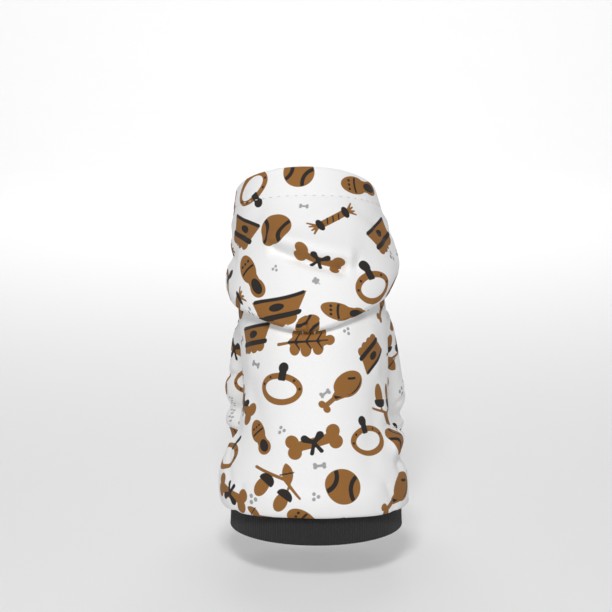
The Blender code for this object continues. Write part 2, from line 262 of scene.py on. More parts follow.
# The camera, fitted to the photo's angle and framing, and the studio
IMAGE_SIDE = 612
SENSOR = 36.0
DISTANCE = 2.30
ELEVATION = math.radians(12.0)
METRES_A_PIXEL = 0.00112
AIM = Vector((-0.006, 0.065, -0.100))
AIM_PIXEL = (311.0, 335.0)
FLOOR_BELOW_BAND = 0.045
STUDIO_RADIUS = 3.2
STUDIO_CURVE = 0.8
STUDIO_WALL = 2.6
STUDIO_SIDES = 64
STUDIO_GREY = 0.55
STUDIO_GLOW = 0.26
WORLD_GLOW = 0.15
Lamp = namedtuple("Lamp", "name place aim size power")
LAMPS = (
    Lamp("key", (0.12, 1.9, 1.55), (0.0, 0.06, -0.1), 0.5, 38.0),
    Lamp("fill", (0.0, -1.9, 1.6), (0.0, 0.06, -0.1), 1.4, 6.0),
    Lamp("backdrop wash", (0.0, -2.4, 2.0), (0.0, -3.4, -0.3), 2.0, 60.0),
)

WHITE = (0.900, 0.900, 0.895, 1.0)
WHITE_SHADE = (0.835, 0.835, 0.835, 1.0)
GREY_INK = (0.350, 0.350, 0.355, 1.0)
BROWN_INK = (0.258, 0.112, 0.027, 1.0)
BROWN_WORN = (0.315, 0.142, 0.038, 1.0)
BLACK_INK = (0.026, 0.022, 0.020, 1.0)
RIB_DARK = (0.014, 0.014, 0.015, 1.0)
RIB_LIGHT = (0.034, 0.034, 0.036, 1.0)
THREAD = (0.420, 0.420, 0.425, 1.0)


def smooth_read(table, column, along):
    """Read a column of a table at any share along it, on a smooth curve through the rows."""
    places = np.array([row.along for row in table])
    values = np.array([getattr(row, column) for row in table])
    slopes = np.gradient(values, places)
    seat = np.clip(np.searchsorted(places, along, side="right") - 1, 0, len(places) - 2)
    span = places[seat + 1] - places[seat]
    part = (along - places[seat]) / span
    rest = 1.0 - part
    start = (1.0 + 2.0 * part) * values[seat] + part * span * slopes[seat]
    end = (3.0 - 2.0 * part) * values[seat + 1] - rest * span * slopes[seat + 1]
    return start * rest**2 + end * part**2


def bell(distance, width):
    """A soft hump, 1 in the middle and about a third at one width from it."""
    return np.exp(-((distance / width) ** 2))


def end_fade(along):
    """1 along most of a piece, falling to 0 where it is sewn at either end."""
    return np.clip(along / SEWN_SHARE, 0.0, 1.0) * np.clip((1.0 - along) / SEWN_SHARE, 0.0, 1.0)


def turns(columns, focus=FOCUS):
    """The angles round a piece, from the back towards +X, closer together at the back."""
    even = np.linspace(0.0, 2.0 * math.pi, columns, endpoint=False)
    return even - focus * np.sin(even)


def spread(lines, around):
    """The share down and the angle round at every grid point."""
    return lines[:, None] + np.zeros(len(around)), around + np.zeros((len(lines), 1))


def section_points(table, along, around, depth, rise, fall, width):
    """Points on sections that run from a back point to a front point."""
    ends = []
    for end in ("back", "front"):
        y = smooth_read(table, end + "_y", along) * depth
        z = smooth_read(table, end + "_z", along)
        ends.append(np.array([y, np.where(z > 0, rise, fall) * z]))
    middle = (ends[0] + ends[1]) / 2.0
    reach = (ends[0] - ends[1]) / 2.0
    x = smooth_read(table, "sway", along) * width
    x = x + smooth_read(table, "half_width", along) * width * np.sin(around)
    y = middle[0] + reach[0] * np.cos(around)
    z = middle[1] + reach[1] * np.cos(around)
    return np.stack([x, y, z], axis=-1)


def body_points(along, around):
    """Points of the body's outer face before its folds."""
    points = section_points(BODY, along, around, BODY_DEPTH, BODY_DROP, BODY_DROP, HIP_WIDTH)
    droop = LIP_DROOP * bell(along - LIP_ALONG, LIP_SPREAD) * end_fade(along)
    points[..., 2] -= droop * np.sin(around) ** 2
    return points


def hood_points(along, around):
    """Points of the hood's outer layer before its folds."""
    points = section_points(HOOD, along, around, HOOD_DEPTH, HOOD_RISE, HOOD_FALL, HOOD_WIDTH)
    turn = np.degrees(np.arctan2(np.sin(around), np.cos(around)))
    tip = bell(turn, HOOD_TIP_SPREAD) * along**2
    throat = bell(180.0 - np.abs(turn), THROAT_SPREAD) * (1.0 - along)
    lean = along * np.sin(around)
    points[..., 2] -= HOOD_TIP_DROP * tip + THROAT_DIP * throat + HOOD_LEAN * lean
    points[..., 1] += 0.3 * HOOD_TIP_DROP * tip
    return points


def sleeve_points(along, around, side):
    """Points of a sleeve's outer face before its folds. side is 1 at +X and -1 at -X."""
    x = smooth_read(SLEEVE, "x", along) * SLEEVE_SPACING
    x = x + smooth_read(SLEEVE, "half_x", along) * SLEEVE_WIDTH * np.sin(around)
    y = smooth_read(SLEEVE, "y", along) * SLEEVE_LENGTH
    y = y + smooth_read(SLEEVE, "half_y", along) * SLEEVE_WIDTH * np.cos(around)
    z = SLEEVE_SHOULDER_Z + smooth_read(SLEEVE, "z", along) * SLEEVE_LENGTH
    z = z + np.zeros_like(around)
    return np.stack([side * x + SLEEVE_SWAY, y, z], axis=-1)


def face_normals(points):
    """Outward directions on a grid, rows running down and columns from the back towards +X."""
    down = np.gradient(points, axis=0)
    across = np.roll(points, -1, axis=1) - np.roll(points, 1, axis=1)
    normals = np.cross(across, down)
    return normals / np.maximum(np.linalg.norm(normals, axis=-1, keepdims=True), 1e-12)


def fold_heights(points, along, around, folds, sewn=True):
    """How far each point of a grid stands out because of the folds near it."""
    heights = np.zeros(points.shape[:2])
    turn = np.degrees(around)
    length = np.linalg.norm(np.diff(points, axis=0), axis=-1).sum(axis=0).mean()
    middle = points.mean(axis=1, keepdims=True)
    radius = np.linalg.norm(points - middle, axis=-1)
    for fold in folds:
        span_along = (fold.along_b - fold.along_a) * length
        span_around = np.radians(fold.around_b - fold.around_a) * radius
        off_along = (along - fold.along_a) * length
        off_turn = turn - (fold.around_a + fold.around_b) / 2.0
        off_turn = (off_turn + 180.0) % 360.0 - 180.0 + (fold.around_b - fold.around_a) / 2.0
        off_around = np.radians(off_turn) * radius
        share = off_along * span_along + off_around * span_around
        share = np.clip(share / (span_along**2 + span_around**2), 0.0, 1.0)
        distance = np.hypot(off_along - share * span_along, off_around - share * span_around)
        heights += fold.height * bell(distance, fold.width)
    return heights * end_fade(along) if sewn else heights


def cloth_waver(points):
    """Slow, shallow unevenness of soft cloth."""
    waver = [noise.noise(Vector(point) / WAVER_SIZE) for point in points.reshape(-1, 3)]
    return WAVER_HEIGHT * np.array(waver).reshape(points.shape[:2])


def reach_down(points):
    """The length down each column of a grid, line by line."""
    drops = np.linalg.norm(np.diff(points, axis=0), axis=-1)
    return np.concatenate([np.zeros((1, points.shape[1])), np.cumsum(drops, axis=0)])


class Grid:
    """A cloth surface as rows of points, with its lengths across and down."""

    def __init__(self, middle, wall):
        self.middle = middle
        normals = face_normals(middle)
        half = (wall / 2.0)[:, None, None]
        self.outer = middle + normals * half
        self.inner = middle - normals * half
        steps = np.linalg.norm(np.roll(middle, -1, axis=1) - middle, axis=-1)
        self.across = np.concatenate([np.zeros((len(middle), 1)), np.cumsum(steps, axis=1)], axis=1)
        self.down = reach_down(middle)
        self.inks = {name: np.full(middle.shape[:2], INK_REACH) for name in ("brown", "black", "grey")}

    def lean(self, line, column):
        """The cosine of the angle between the grid's lines and columns at a point."""
        rows, columns = self.middle.shape[:2]
        low, high = min(line + LEAN_REACH, rows - 1), max(line - LEAN_REACH, 0)
        row = self.middle[line]
        ahead = row[(column + LEAN_REACH) % columns] - row[column - LEAN_REACH]
        below = self.middle[low, column] - self.middle[high, column]
        return float(ahead @ below / (np.linalg.norm(ahead) * np.linalg.norm(below)))


def rounded_wall(grid_points, wall, round_top, round_bottom):
    """The wall's thickness row by row, rounded off at its free edges."""
    reach = reach_down(grid_points).mean(axis=1)
    thick = wall.copy()
    for free, away in ((round_top, reach), (round_bottom, reach[-1] - reach)):
        if free:
            near = np.clip(away / (wall / 2.0), 0.0, 1.0)
            thick = thick * np.sqrt(np.clip(1.0 - (1.0 - near) ** 2, EDGE_LEAST, 1.0))
    return thick


def edge_lines(count, top, bottom):
    """Shares down a piece, with extra rows close to its free edges."""
    lines = list(np.linspace(0.0, 1.0, count))
    lines += EDGE_SHARES if top else []
    lines += [1.0 - share for share in EDGE_SHARES] if bottom else []
    return np.array(sorted(lines))


def disc(x, y, cx, cy, radius):
    """Signed distance to a disc."""
    return np.hypot(x - cx, y - cy) - radius


def bar(x, y, ax, ay, bx, by, start, end=None):
    """Signed distance to a round-ended bar whose radius runs from start to end."""
    end = start if end is None else end
    share = ((x - ax) * (bx - ax) + (y - ay) * (by - ay)) / ((bx - ax) ** 2 + (by - ay) ** 2)
    share = np.clip(share, 0.0, 1.0)
    radius = start + share * (end - start)
    return np.hypot(x - ax - share * (bx - ax), y - ay - share * (by - ay)) - radius


def oval(x, y, cx, cy, rx, ry):
    """Signed distance, nearly, to an ellipse."""
    near = np.hypot((x - cx) / rx, (y - cy) / ry)
    slope = np.hypot((x - cx) / rx**2, (y - cy) / ry**2)
    return near * (near - 1.0) / np.maximum(slope, 1e-6)


def block(x, y, cx, cy, half_x, half_y, corner=0.0):
    """Signed distance to a rectangle with round corners."""
    dx = np.abs(x - cx) - half_x + corner
    dy = np.abs(y - cy) - half_y + corner
    outside = np.hypot(np.maximum(dx, 0.0), np.maximum(dy, 0.0))
    return outside + np.minimum(np.maximum(dx, dy), 0.0) - corner


def both(*shapes):
    """The union of shapes."""
    return np.minimum.reduce(shapes)


def within(shape, limit):
    """The part of a shape inside a limit."""
    return np.maximum(shape, limit)


def bone_motif(x, y):
    """A bone tied with a bow."""
    ends = [disc(x, y, side * 0.70, end * 0.19, 0.235) for side in (-1, 1) for end in (-1, 1)]
    brown = both(bar(x, y, -0.62, 0.0, 0.62, 0.0, 0.17), *ends)
    loops = [bar(x, y, 0.0, 0.0, side * 0.26, 0.20, 0.05, 0.13) for side in (-1, 1)]
    tails = [bar(x, y, 0.0, 0.0, side * 0.16, -0.34, 0.05, 0.07) for side in (-1, 1)]
    return {"brown": brown, "black": both(disc(x, y, 0.0, 0.02, 0.10), *loops, *tails)}


def leaf_motif(x, y):
    """An oak leaf with its veins."""
    lobes = [
        oval(x, y, at + side * 0.05, side * (0.30 - 0.16 * abs(at - 0.05)), 0.17, 0.21)
        for at in (-0.38, -0.02, 0.36)
        for side in (-1, 1)
    ]
    blade = both(oval(x, y, 0.04, 0.0, 0.68, 0.24), disc(x, y, 0.68, 0.0, 0.17), *lobes)
    stalk = bar(x, y, -0.98, -0.06, -0.5, 0.0, 0.055, 0.04)
    veins = [
        bar(x, y, at, 0.0, at + 0.16, side * 0.26, 0.032, 0.02)
        for at in (-0.42, -0.06, 0.28)
        for side in (-1, 1)
    ]
    spine = bar(x, y, -0.62, 0.0, 0.62, 0.0, 0.045, 0.025)
    return {"brown": both(blade, stalk), "black": both(spine, *veins)}


def slipper_motif(x, y):
    """A slipper seen from above."""
    heel = oval(x, y, -0.52, 0.0, 0.40, 0.27)
    toe = oval(x, y, 0.36, 0.02, 0.58, 0.34)
    sole = both(heel, toe, bar(x, y, -0.5, 0.0, 0.3, 0.0, 0.22))
    mouth = oval(x, y, -0.44, 0.0, 0.34, 0.17)
    strap = np.abs(disc(x, y, -0.62, 0.0, 0.98)) - 0.045
    spots = both(*[disc(x, y, 0.60, lift, 0.055) for lift in (-0.14, 0.02, 0.18)])
    return {"brown": sole, "black": both(mouth, within(strap, sole + 0.05), spots)}


def ham_motif(x, y):
    """A ham on its bone."""
    meat = both(oval(x, y, 0.28, 0.06, 0.58, 0.40), bar(x, y, 0.1, 0.0, -0.34, -0.10, 0.30, 0.13))
    knuckles = (disc(x, y, -0.88, -0.12, 0.12), disc(x, y, -0.82, -0.32, 0.12))
    shank = bar(x, y, -0.3, -0.09, -0.82, -0.21, 0.075)
    shade = within(meat + 0.06, -oval(x, y, 0.20, 0.20, 0.66, 0.44))
    gleam = bar(x, y, 0.36, 0.22, 0.58, 0.12, 0.04)
    return {"brown": both(meat, shank, *knuckles), "black": both(shade, gleam)}


def bowl_motif(x, y):
    """A full food bowl."""
    side = np.maximum((np.abs(x) - 0.66 - (-0.1 - y) * 0.35) * 0.94, np.abs(y + 0.22) - 0.30)
    heap = [disc(x, y, at, 0.16 + 0.10 * (1 - abs(at)), 0.19) for at in (-0.4, -0.1, 0.22, 0.46)]
    rim = bar(x, y, -0.62, 0.08, 0.62, 0.08, 0.085)
    foot = bar(x, y, -0.70, -0.50, 0.70, -0.50, 0.06)
    return {"brown": both(side, *heap), "black": both(rim, foot, oval(x, y, 0.0, -0.22, 0.22, 0.13))}


def ball_motif(x, y):
    """A ball with two curved seams."""
    ball = disc(x, y, 0.0, 0.0, 0.56)
    seams = both(*[np.abs(disc(x, y, side * 0.80, 0.1, 0.56)) - 0.07 for side in (-1, 1)])
    return {"brown": ball, "black": within(seams, ball + 0.02)}


def rope_motif(x, y):
    """A knotted tug rope with frayed ends."""
    strand = bar(x, y, -0.5, -0.06, 0.5, 0.06, 0.14)
    fray = [
        bar(x, y, side * 0.68, side * 0.08, side * 1.02, side * 0.08 + spread, 0.06, 0.035)
        for side in (-1, 1)
        for spread in (-0.26, -0.09, 0.09, 0.26)
    ]
    knots = both(*[oval(x, y, side * 0.60, side * 0.07, 0.15, 0.25) for side in (-1, 1)])
    twist = both(*[bar(x, y, at - 0.05, -0.11, at + 0.05, 0.11, 0.028) for at in (-0.25, 0.0, 0.25)])
    return {"brown": both(strand, *fray), "black": both(knots, twist)}


def acorn_motif(x, y):
    """A twig with two acorns and a leaf."""
    twig = both(bar(x, y, -0.95, 0.05, 0.1, 0.34, 0.05), bar(x, y, 0.1, 0.34, 0.85, 0.16, 0.05, 0.035))
    nuts = both(oval(x, y, -0.34, -0.24, 0.22, 0.34), oval(x, y, 0.42, -0.26, 0.20, 0.32))
    tops = both(oval(x, y, -0.34, -0.02, 0.28, 0.20), oval(x, y, 0.42, -0.04, 0.26, 0.19))
    caps = within(tops, -(y + 0.10))
    stalks = both(bar(x, y, -0.34, 0.1, -0.3, 0.24, 0.035), bar(x, y, 0.42, 0.1, 0.36, 0.26, 0.035))
    leaf = within(disc(x, y, -0.16, 0.22, 0.52), disc(x, y, 0.24, 0.82, 0.52))
    vein = bar(x, y, -0.12, 0.36, 0.16, 0.66, 0.025)
    return {"brown": both(twig, nuts, stalks, leaf), "black": both(caps, vein)}


def collar_motif(x, y):
    """A buckled collar with a round tag."""
    band = np.abs(oval(x, y, 0.0, 0.14, 0.66, 0.40)) - 0.095
    tag = disc(x, y, 0.0, -0.52, 0.17)
    angles = (0.7, -0.7, 1.4, -1.4)
    studs = [disc(x, y, 0.66 * math.sin(a), 0.14 - 0.40 * math.cos(a), 0.045) for a in angles]
    return {"brown": band, "black": both(tag, block(x, y, 0.0, -0.26, 0.13, 0.14, 0.03), *studs)}


def chew_motif(x, y):
    """A tiny bone."""
    ends = [disc(x, y, side * 0.80, end * 0.27, 0.34) for side in (-1, 1) for end in (-1, 1)]
    return {"grey": both(bar(x, y, -0.7, 0.0, 0.7, 0.0, 0.24), *ends)}


def dots_motif(x, y):
    """Three small dots."""
    places = ((-0.5, -0.3), (0.5, -0.3), (0.0, 0.55))
    return {"grey": both(*[disc(x, y, cx, cy, 0.36) for cx, cy in places])}


def clover_motif(x, y):
    """A tiny clover."""
    leaves = [disc(x, y, 0.46 * math.sin(a), 0.46 * math.cos(a), 0.38) for a in (0.0, 1.57, 3.14, 4.71)]
    return {"grey": both(bar(x, y, 0.0, 0.0, 0.7, -0.95, 0.14), *leaves)}


def crumbs_motif(x, y):
    """Rows of tiny dashes, scattered like crumbs."""
    places = ((-0.45, 1.15), (0.55, 1.05), (0.1, 0.45), (-0.5, -0.2), (0.5, -0.3), (0.0, -0.95))
    return {"grey": both(*[bar(x, y, cx - 0.32, cy, cx + 0.32, cy + 0.1, 0.15) for cx, cy in places])}


BIG_MOTIFS = (bone_motif, leaf_motif, bowl_motif, rope_motif, slipper_motif, acorn_motif)
BIG_MOTIFS += (ham_motif, ball_motif, collar_motif)
SMALL_MOTIFS = (dots_motif, chew_motif, clover_motif, crumbs_motif)


def stamp(grid, line, column, half, turn, motif):
    """Print a motif flat on the cloth round a point, if the cloth there is still bare."""
    across = grid.across[:, :-1] - grid.across[:, column][:, None]
    round_length = grid.across[:, -1][:, None]
    across = (across + round_length / 2.0) % round_length - round_length / 2.0
    down = grid.down - grid.down[line][None, :]
    lean = grid.lean(line, column)
    across = across + down * lean
    down = down * math.sqrt(1.0 - lean**2)
    x = (-across * math.cos(turn) - down * math.sin(turn)) / half
    y = (across * math.sin(turn) - down * math.cos(turn)) / half
    near = (np.abs(x) < STAMP_REACH) & (np.abs(y) < STAMP_REACH)
    shapes = {ink: shape * half for ink, shape in motif(x[near], y[near]).items()}
    covered = np.minimum.reduce(list(shapes.values())) < 0.0
    taken = np.minimum.reduce([ink[near] for ink in grid.inks.values()])
    if covered.any() and taken[covered].min() < MOTIF_CLEAR:
        return False
    for ink, shape in shapes.items():
        grid.inks[ink][near] = np.minimum(grid.inks[ink][near], shape)
    return True


def closest(values, target):
    """The seat of the value closest to a target."""
    return int(np.argmin(np.abs(values - target)))


def print_cloth(grid, seed, first_down, last_line, upside_down):
    """Print a piece in staggered rows, big motifs first."""
    dice = np.random.default_rng(seed)
    reach = grid.down[:last_line]
    middle_reach = reach.mean(axis=1)
    rows = int((reach[-1].max() - first_down) / MOTIF_GAP_DOWN) + 2
    kind = int(dice.integers(len(BIG_MOTIFS)))
    upright = math.pi if upside_down else 0.0

    def girth_at(depth):
        return grid.across[closest(middle_reach, depth), -1]

    def spot(seat, depth):
        level = closest(middle_reach, depth)
        column = closest(grid.across[level, :-1], seat % 1.0 * grid.across[level, -1])
        return closest(reach[:, column], depth), column

    for row in range(rows):
        depth = first_down + row * MOTIF_GAP_DOWN
        number = max(2, int(round(girth_at(depth) / MOTIF_GAP_ACROSS)))
        kind += KIND_ROW_STEP
        for place in range(number):
            for chance in range(MOTIF_TRIES):
                seat = (place + 0.5 * (row % 2) + dice.uniform(-MOTIF_SHIFT, MOTIF_SHIFT)) / number
                line, column = spot(seat, depth + dice.uniform(-ROW_SHIFT, ROW_SHIFT) * MOTIF_GAP_DOWN)
                tilt = upright + dice.uniform(-MOTIF_TILT, MOTIF_TILT)
                tilt += math.pi if dice.random() < TURNED_SHARE else 0.0
                size = MOTIF_HALF * (dice.uniform(*MOTIF_SIZES) - SMALLER_A_TRY * chance)
                if stamp(grid, line, column, size, tilt, BIG_MOTIFS[kind % len(BIG_MOTIFS)]):
                    break
            kind += 1 if dice.random() < KIND_NEXT_SHARE else KIND_SKIP
    for row in range(2 * rows + 1):
        depth = first_down + (row - 0.5) / 2.0 * MOTIF_GAP_DOWN
        number = int(girth_at(depth) / (0.5 * MOTIF_GAP_ACROSS))
        for place in range(number):
            seat = (place + dice.uniform(-SMALL_SHIFT, SMALL_SHIFT)) / number
            line, column = spot(seat, depth + dice.uniform(-SMALL_ROW_SHIFT, SMALL_ROW_SHIFT))
            small = SMALL_MOTIFS[int(dice.integers(len(SMALL_MOTIFS)))]
            if dice.random() < SMALL_SHARE:
                size = SMALL_HALF * dice.uniform(*SMALL_SIZES)
                stamp(grid, line, column, size, dice.uniform(-MOTIF_TILT, MOTIF_TILT), small)


def add_object(name, data):
    """Put a mesh, a lamp or a camera in the scene."""
    item = bpy.data.objects.new(name, data)
    bpy.context.collection.objects.link(item)
    return item


def mesh_object(name, points, faces, material=None):
    """A mesh in the scene, smooth where it has a material."""
    mesh = bpy.data.meshes.new(name)
    mesh.from_pydata(points, [], faces)
    if material:
        mesh.shade_smooth()
        mesh.materials.append(material)
    return add_object(name, mesh)


def grid_object(name, grid, material):
    """A closed cloth wall from a grid: a dense printed outside and a plainer inside."""
    rows, columns = grid.outer.shape[:2]
    every_line = np.arange(rows)
    near_rim = (every_line < RIM_LINES) | (every_line >= rows - RIM_LINES)
    inner_lines = every_line[(every_line % INNER_STEP == 0) | near_rim]
    inner_columns = np.arange(0, columns + 1, INNER_STEP)
    outer_seat = np.arange(rows * columns).reshape(rows, columns)
    outer_seat = np.concatenate([outer_seat, outer_seat[:, :1]], axis=1)
    inner_seat = np.zeros((rows, columns + 1), dtype=int)
    inside = grid.inner[inner_lines][:, inner_columns[:-1]]
    numbers = rows * columns + np.arange(inside.shape[0] * inside.shape[1]).reshape(inside.shape[:2])
    inner_seat[np.ix_(inner_lines, inner_columns[:-1])] = numbers
    inner_seat[:, -1] = inner_seat[:, 0]

    faces = []
    corners = []
    for seats, lines, marks, order in (
        (outer_seat, every_line, np.arange(columns + 1), (0, 1, 3, 2)),
        (inner_seat, inner_lines, inner_columns, (0, 2, 3, 1)),
    ):
        line, mark = np.meshgrid(lines, marks, indexing="ij")
        pairs = np.stack([line, mark], axis=-1)
        quads = np.stack([pairs[:-1, :-1], pairs[:-1, 1:], pairs[1:, :-1], pairs[1:, 1:]], axis=2)
        quads = quads[:, :, list(order)].reshape(-1, 4, 2)
        faces += seats[quads[..., 0], quads[..., 1]].tolist()
        corners.append(quads.reshape(-1, 2))
    for line, order in ((0, -1), (rows - 1, 1)):
        for first, last in zip(inner_columns[:-1], inner_columns[1:]):
            edge = list(range(first, last + 1))
            ring = [outer_seat[line, mark] for mark in edge]
            ring += [inner_seat[line, last], inner_seat[line, first]]
            marks = edge + [last, first]
            faces.append(ring[::order])
            corners.append(np.array([(line, mark) for mark in marks[::order]]))
    points = np.concatenate([grid.outer.reshape(-1, 3), inside.reshape(-1, 3)])
    piece = mesh_object(name, points, faces, material)
    mesh = piece.data
    for ink, shape in grid.inks.items():
        values = np.full(len(mesh.vertices), INK_REACH)
        values[: rows * columns] = np.clip(shape, -INK_REACH, INK_REACH).ravel()
        mesh.attributes.new("ink_" + ink, "FLOAT", "POINT").data.foreach_set("value", values * 1000.0)
    corners = np.concatenate(corners)
    down = np.concatenate([grid.down, grid.down[:, :1]], axis=1)
    at = (corners[:, 0], corners[:, 1])
    lengths = np.stack([grid.across[at], down[at]], axis=-1)
    mesh.uv_layers.new(name="cloth").data.foreach_set("uv", lengths.ravel())
    return piece


def node(tree, kind, label, **values):
    """Add a shader node and set its values."""
    made = tree.nodes.new(kind)
    made.label = label
    for key, value in values.items():
        setattr(made, key, value)
    return made


def set_inputs(item, values):
    """Set a node's sockets by name."""
    for socket, value in values.items():
        item.inputs[socket].default_value = value


def ink_mask(tree, name, soft):
    """How much of an ink covers the cloth, 1 inside its shapes."""
    shape = node(tree, "ShaderNodeAttribute", name, attribute_name="ink_" + name)
    mask = node(tree, "ShaderNodeMapRange", name + " edge", interpolation_type="SMOOTHSTEP")
    set_inputs(mask, {"From Min": soft, "From Max": -soft})
    tree.links.new(shape.outputs["Fac"], mask.inputs["Value"])
    return mask.outputs["Result"]


def mix_colour(tree, factor, below, above, label):
    """Lay one colour over another."""
    mix = node(tree, "ShaderNodeMix", label, data_type="RGBA")
    tree.links.new(factor, mix.inputs["Factor"])
    for socket, colour in ((mix.inputs["A"], below), (mix.inputs["B"], above)):
        if isinstance(colour, tuple):
            socket.default_value = colour
        else:
            tree.links.new(colour, socket)
    return mix.outputs["Result"]


def knit_height(tree, pitch, label):
    """The height of a fine jersey knit, from the cloth's own lengths."""
    cloth = node(tree, "ShaderNodeUVMap", label + " lengths", uv_map="cloth")
    place = node(tree, "ShaderNodeMapping", label + " pitch")
    set_inputs(place, {"Scale": (1.0 / pitch, 1.0 / pitch, 1.0)})
    tree.links.new(cloth.outputs["UV"], place.inputs["Vector"])
    wales = node(tree, "ShaderNodeTexWave", label + " wales", bands_direction="X")
    set_inputs(wales, {"Scale": ONE_LOOP, "Distortion": 1.2, "Detail": 1.0})
    courses = node(tree, "ShaderNodeTexWave", label + " courses", bands_direction="DIAGONAL")
    set_inputs(courses, {"Scale": ONE_LOOP})
    fuzz = node(tree, "ShaderNodeTexNoise", label + " fuzz")
    set_inputs(fuzz, {"Scale": 0.8, "Detail": 3.0})
    for texture in (wales, courses, fuzz):
        tree.links.new(place.outputs["Vector"], texture.inputs["Vector"])
    add = node(tree, "ShaderNodeMath", label + " loops", operation="ADD")
    tree.links.new(wales.outputs["Fac"], add.inputs[0])
    tree.links.new(courses.outputs["Fac"], add.inputs[1])
    total = node(tree, "ShaderNodeMath", label + " height", operation="ADD")
    tree.links.new(add.outputs["Value"], total.inputs[0])
    tree.links.new(fuzz.outputs["Fac"], total.inputs[1])
    return total.outputs["Value"], fuzz.outputs["Fac"]


def cloth_shader(name, roughness, sheen):
    """A material with its tree, its shader and a bump ready to be linked."""
    material = bpy.data.materials.new(name)
    material.use_nodes = True
    tree = material.node_tree
    shader = tree.nodes["Principled BSDF"]
    set_inputs(shader, {"Roughness": roughness, "Specular IOR Level": 0.25})
    set_inputs(shader, {"Sheen Weight": sheen, "Sheen Roughness": 0.5})
    bump = node(tree, "ShaderNodeBump", "cloth relief")
    tree.links.new(bump.outputs["Normal"], shader.inputs["Normal"])
    return material, tree, shader, bump


def printed_cloth():
    """Brushed white sweatshirt knit with brown, black and grey ink in it."""
    material, tree, shader, bump = cloth_shader("printed_cloth", 0.90, 0.03)
    height, fuzz = knit_height(tree, JERSEY_PITCH, "jersey")
    set_inputs(bump, {"Strength": 0.22, "Distance": KNIT_DEPTH})
    tree.links.new(height, bump.inputs["Height"])
    ground = mix_colour(tree, fuzz, WHITE_SHADE, WHITE, "white ground")
    brown = mix_colour(tree, fuzz, BROWN_INK, BROWN_WORN, "brown ink")
    colour = mix_colour(tree, ink_mask(tree, "grey", GREY_SOFT), ground, GREY_INK, "grey over white")
    colour = mix_colour(tree, ink_mask(tree, "brown", INK_SOFT), colour, brown, "brown over grey")
    colour = mix_colour(tree, ink_mask(tree, "black", INK_SOFT), colour, BLACK_INK, "black over brown")
    tree.links.new(colour, shader.inputs["Base Color"])
    return material


def rib_cloth():
    """Charcoal rib knit."""
    material, tree, shader, bump = cloth_shader("rib_knit", 0.92, 0.10)
    height, fuzz = knit_height(tree, RIB_PITCH, "rib")
    set_inputs(bump, {"Strength": 0.35, "Distance": KNIT_DEPTH})
    tree.links.new(height, bump.inputs["Height"])
    tree.links.new(mix_colour(tree, fuzz, RIB_DARK, RIB_LIGHT, "charcoal"), shader.inputs["Base Color"])
    return material


def thread_finish():
    """Pale grey sewing thread."""
    material, tree, shader, bump = cloth_shader("thread", 0.7, 0.0)
    ply = node(tree, "ShaderNodeTexNoise", "ply")
    set_inputs(ply, {"Scale": 900.0})
    tree.links.new(ply.outputs["Fac"], bump.inputs["Height"])
    set_inputs(bump, {"Distance": 0.0001})
    colour = mix_colour(tree, ply.outputs["Fac"], THREAD, WHITE, "thread")
    tree.links.new(colour, shader.inputs["Base Color"])
    return material


def folded(points_of, folds, lines, around, extra=None):
    """The outer face of a tube-like piece with its folds and slow unevenness."""
    along, angles = spread(lines, around)
    points = points_of(along, angles)
    heights = fold_heights(points, along, around, folds)
    heights = heights + cloth_waver(points) * end_fade(along)
    if extra:
        heights = heights + extra(points)
    return points + face_normals(points) * heights[..., None]


def wall_grid(outer, wall, free_bottom):
    """A wall under an outer face, rounded off where its bottom edge is free."""
    thick = rounded_wall(outer, wall, False, free_bottom)
    return Grid(outer - face_normals(outer) * wall[:, None, None] / 2.0, thick)


def body_grid():
    """The body, from the neckline to the band."""
    lines = np.linspace(0.0, 1.0, BODY_LINES)
    outer = folded(body_points, BODY_FOLDS, lines, turns(BODY_COLUMNS))
    return wall_grid(outer, np.full(BODY_LINES, CLOTH_WALL), False)


def hood_reach(edge, around):
    """How far down the body the hood's inner layer starts, level with its fold line."""
    steps = np.linspace(0.0, POUCH_REACH, 121)
    levels = body_points(*spread(steps, around))[..., 2]
    return np.array([np.interp(-edge[k, 2], -levels[:, k], steps) for k in range(len(around))])


def hood_grid():
    """The hood: down its outer layer, round the fold line and up to the neckline."""
    around = turns(HOOD_COLUMNS)
    lines = edge_lines(HOOD_OUTER_LINES, True, False)

    def tip_tuck(points):
        return fold_heights(points, lines[:, None], around, TIP_TUCK, sewn=False)

    outer = folded(hood_points, HOOD_FOLDS, lines, around, tip_tuck)
    low = hood_reach(outer[-1], around)
    climb = np.linspace(1.0, 0.0, HOOD_INNER_LINES)[:, None]
    inner = body_points(climb * low, around + np.zeros((HOOD_INNER_LINES, 1)))
    inner = inner - face_normals(inner) * (SEAM_GAP + CLOTH_WALL / 2.0)
    turn = []
    for share in np.linspace(0.0, 1.0, POUCH_LINES)[1:-1]:
        row = outer[-1] * (1.0 - share) + inner[0] * share
        row[:, 2] -= POUCH_FOLD * math.sin(math.pi * share) ** 0.8
        turn.append(row)
    middle = np.concatenate([outer, np.array(turn), inner])
    casing = next(row.along for row in HOOD if row.name == "casing_stitch")
    casing_line = int(np.searchsorted(lines, casing))
    wall = np.full(len(middle), CLOTH_WALL)
    wall[:casing_line] = CASING_WALL
    return Grid(middle, rounded_wall(middle, wall, True, False)), len(lines), casing_line


